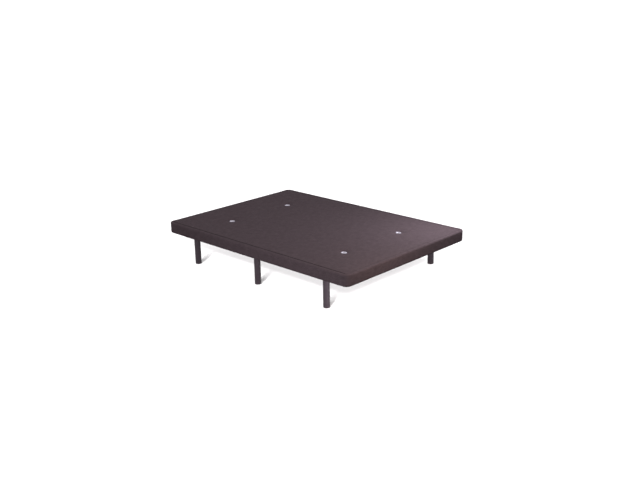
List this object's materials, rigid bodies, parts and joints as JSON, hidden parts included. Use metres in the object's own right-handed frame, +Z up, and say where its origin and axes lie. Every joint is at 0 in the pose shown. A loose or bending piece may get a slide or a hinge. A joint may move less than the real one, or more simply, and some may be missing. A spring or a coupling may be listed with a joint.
{
  "type": "upholstered platform bed base",
  "caption": "Flat padded platform bed base: fabric-covered timber frame with a boarded deck, air vents in tufted hollows, and screw-in tubular steel legs with plastic feet.",
  "frame": {"origin": "on the floor under the centre of the base", "axes": "+Z up, X across the width, +Y along the length towards the head end"},
  "size_m": [1.35, 1.9, 0.312],
  "materials": {
    "cover_fabric": "woven spacer mesh, matt, dark plum brown",
    "underside_cloth": "black non-woven cloth",
    "foam": "open-cell foam",
    "pine": "planed pine, unfinished",
    "beech": "fluted beech dowel",
    "fibreboard": "smooth hard fibreboard",
    "zinc_steel": "bright zinc plated",
    "vent_nickel": "nickel plated pressing",
    "leg_paint": "satin powder coat, dark grey brown",
    "foot_plastic": "moulded, matt"
  },
  "bodies": {
    "base": {"side_rail_left": "pine", "side_rail_right": "pine", "head_rail": "pine", "foot_rail": "pine", "leg_rail_head": "pine", "leg_rail_middle": "pine", "leg_rail_foot": "pine", "cross_rail_head": "pine", "cross_rail_foot": "pine", "corner_block_head_left": "pine", "corner_block_head_right": "pine", "corner_block_foot_left": "pine", "corner_block_foot_right": "pine", "frame_dowels": "beech", "cross_rail_screws": "zinc_steel", "deck_screws": "zinc_steel", "staples": "zinc_steel", "leg_inserts": "zinc_steel", "deck_board_head": "fibreboard", "deck_board_foot": "fibreboard", "foam_pad": "foam", "side_padding": "foam", "cover_top": "cover_fabric", "cover_border": "cover_fabric", "dust_cover": "underside_cloth", "vent_washers": "zinc_steel", "vent_eyelet_head_left": "vent_nickel", "vent_grille_head_left": "vent_nickel", "vent_eyelet_head_right": "vent_nickel", "vent_grille_head_right": "vent_nickel", "vent_eyelet_foot_left": "vent_nickel", "vent_grille_foot_left": "vent_nickel", "vent_eyelet_foot_right": "vent_nickel", "vent_grille_foot_right": "vent_nickel"},
    "washer_head_left": {"leg_washer_head_left": "foot_plastic"},
    "leg_head_left": {"leg_tube_head_left": "leg_paint", "leg_stud_plate_head_left": "zinc_steel", "leg_foot_head_left": "foot_plastic"},
    "washer_head_right": {"leg_washer_head_right": "foot_plastic"},
    "leg_head_right": {"leg_tube_head_right": "leg_paint", "leg_stud_plate_head_right": "zinc_steel", "leg_foot_head_right": "foot_plastic"},
    "washer_middle_left": {"leg_washer_middle_left": "foot_plastic"},
    "leg_middle_left": {"leg_tube_middle_left": "leg_paint", "leg_stud_plate_middle_left": "zinc_steel", "leg_foot_middle_left": "foot_plastic"},
    "washer_middle_right": {"leg_washer_middle_right": "foot_plastic"},
    "leg_middle_right": {"leg_tube_middle_right": "leg_paint", "leg_stud_plate_middle_right": "zinc_steel", "leg_foot_middle_right": "foot_plastic"},
    "washer_foot_left": {"leg_washer_foot_left": "foot_plastic"},
    "leg_foot_left": {"leg_tube_foot_left": "leg_paint", "leg_stud_plate_foot_left": "zinc_steel", "leg_foot_foot_left": "foot_plastic"},
    "washer_foot_right": {"leg_washer_foot_right": "foot_plastic"},
    "leg_foot_right": {"leg_tube_foot_right": "leg_paint", "leg_stud_plate_foot_right": "zinc_steel", "leg_foot_foot_right": "foot_plastic"}
  },
  "joints": [
    {"name": "leg_head_left_lower", "type": "slide", "parent": "base", "child": "washer_head_left", "axis": [0, 0, -1], "range_m": [0, 0.0225]},
    {"name": "leg_head_left_unscrew", "type": "hinge", "parent": "washer_head_left", "child": "leg_head_left", "pos_m": [-0.595, 0.69, 0.223], "axis": [0, 0, -1], "range_deg": [0, 5400]},
    {"name": "leg_head_right_lower", "type": "slide", "parent": "base", "child": "washer_head_right", "axis": [0, 0, -1], "range_m": [0, 0.0225]},
    {"name": "leg_head_right_unscrew", "type": "hinge", "parent": "washer_head_right", "child": "leg_head_right", "pos_m": [0.595, 0.69, 0.223], "axis": [0, 0, -1], "range_deg": [0, 5400]},
    {"name": "leg_middle_left_lower", "type": "slide", "parent": "base", "child": "washer_middle_left", "axis": [0, 0, -1], "range_m": [0, 0.0225]},
    {"name": "leg_middle_left_unscrew", "type": "hinge", "parent": "washer_middle_left", "child": "leg_middle_left", "pos_m": [-0.595, 0, 0.223], "axis": [0, 0, -1], "range_deg": [0, 5400]},
    {"name": "leg_middle_right_lower", "type": "slide", "parent": "base", "child": "washer_middle_right", "axis": [0, 0, -1], "range_m": [0, 0.0225]},
    {"name": "leg_middle_right_unscrew", "type": "hinge", "parent": "washer_middle_right", "child": "leg_middle_right", "pos_m": [0.595, 0, 0.223], "axis": [0, 0, -1], "range_deg": [0, 5400]},
    {"name": "leg_foot_left_lower", "type": "slide", "parent": "base", "child": "washer_foot_left", "axis": [0, 0, -1], "range_m": [0, 0.0225]},
    {"name": "leg_foot_left_unscrew", "type": "hinge", "parent": "washer_foot_left", "child": "leg_foot_left", "pos_m": [-0.595, -0.69, 0.223], "axis": [0, 0, -1], "range_deg": [0, 5400]},
    {"name": "leg_foot_right_lower", "type": "slide", "parent": "base", "child": "washer_foot_right", "axis": [0, 0, -1], "range_m": [0, 0.0225]},
    {"name": "leg_foot_right_unscrew", "type": "hinge", "parent": "washer_foot_right", "child": "leg_foot_right", "pos_m": [0.595, -0.69, 0.223], "axis": [0, 0, -1], "range_deg": [0, 5400]}
  ],
  "couplings": [
    {"joint": "leg_head_left_lower", "follows": "leg_head_left_unscrew", "m_per_rad": 0.00023873},
    {"joint": "leg_head_right_lower", "follows": "leg_head_right_unscrew", "m_per_rad": 0.00023873},
    {"joint": "leg_middle_left_lower", "follows": "leg_middle_left_unscrew", "m_per_rad": 0.00023873},
    {"joint": "leg_middle_right_lower", "follows": "leg_middle_right_unscrew", "m_per_rad": 0.00023873},
    {"joint": "leg_foot_left_lower", "follows": "leg_foot_left_unscrew", "m_per_rad": 0.00023873},
    {"joint": "leg_foot_right_lower", "follows": "leg_foot_right_unscrew", "m_per_rad": 0.00023873}
  ]
}
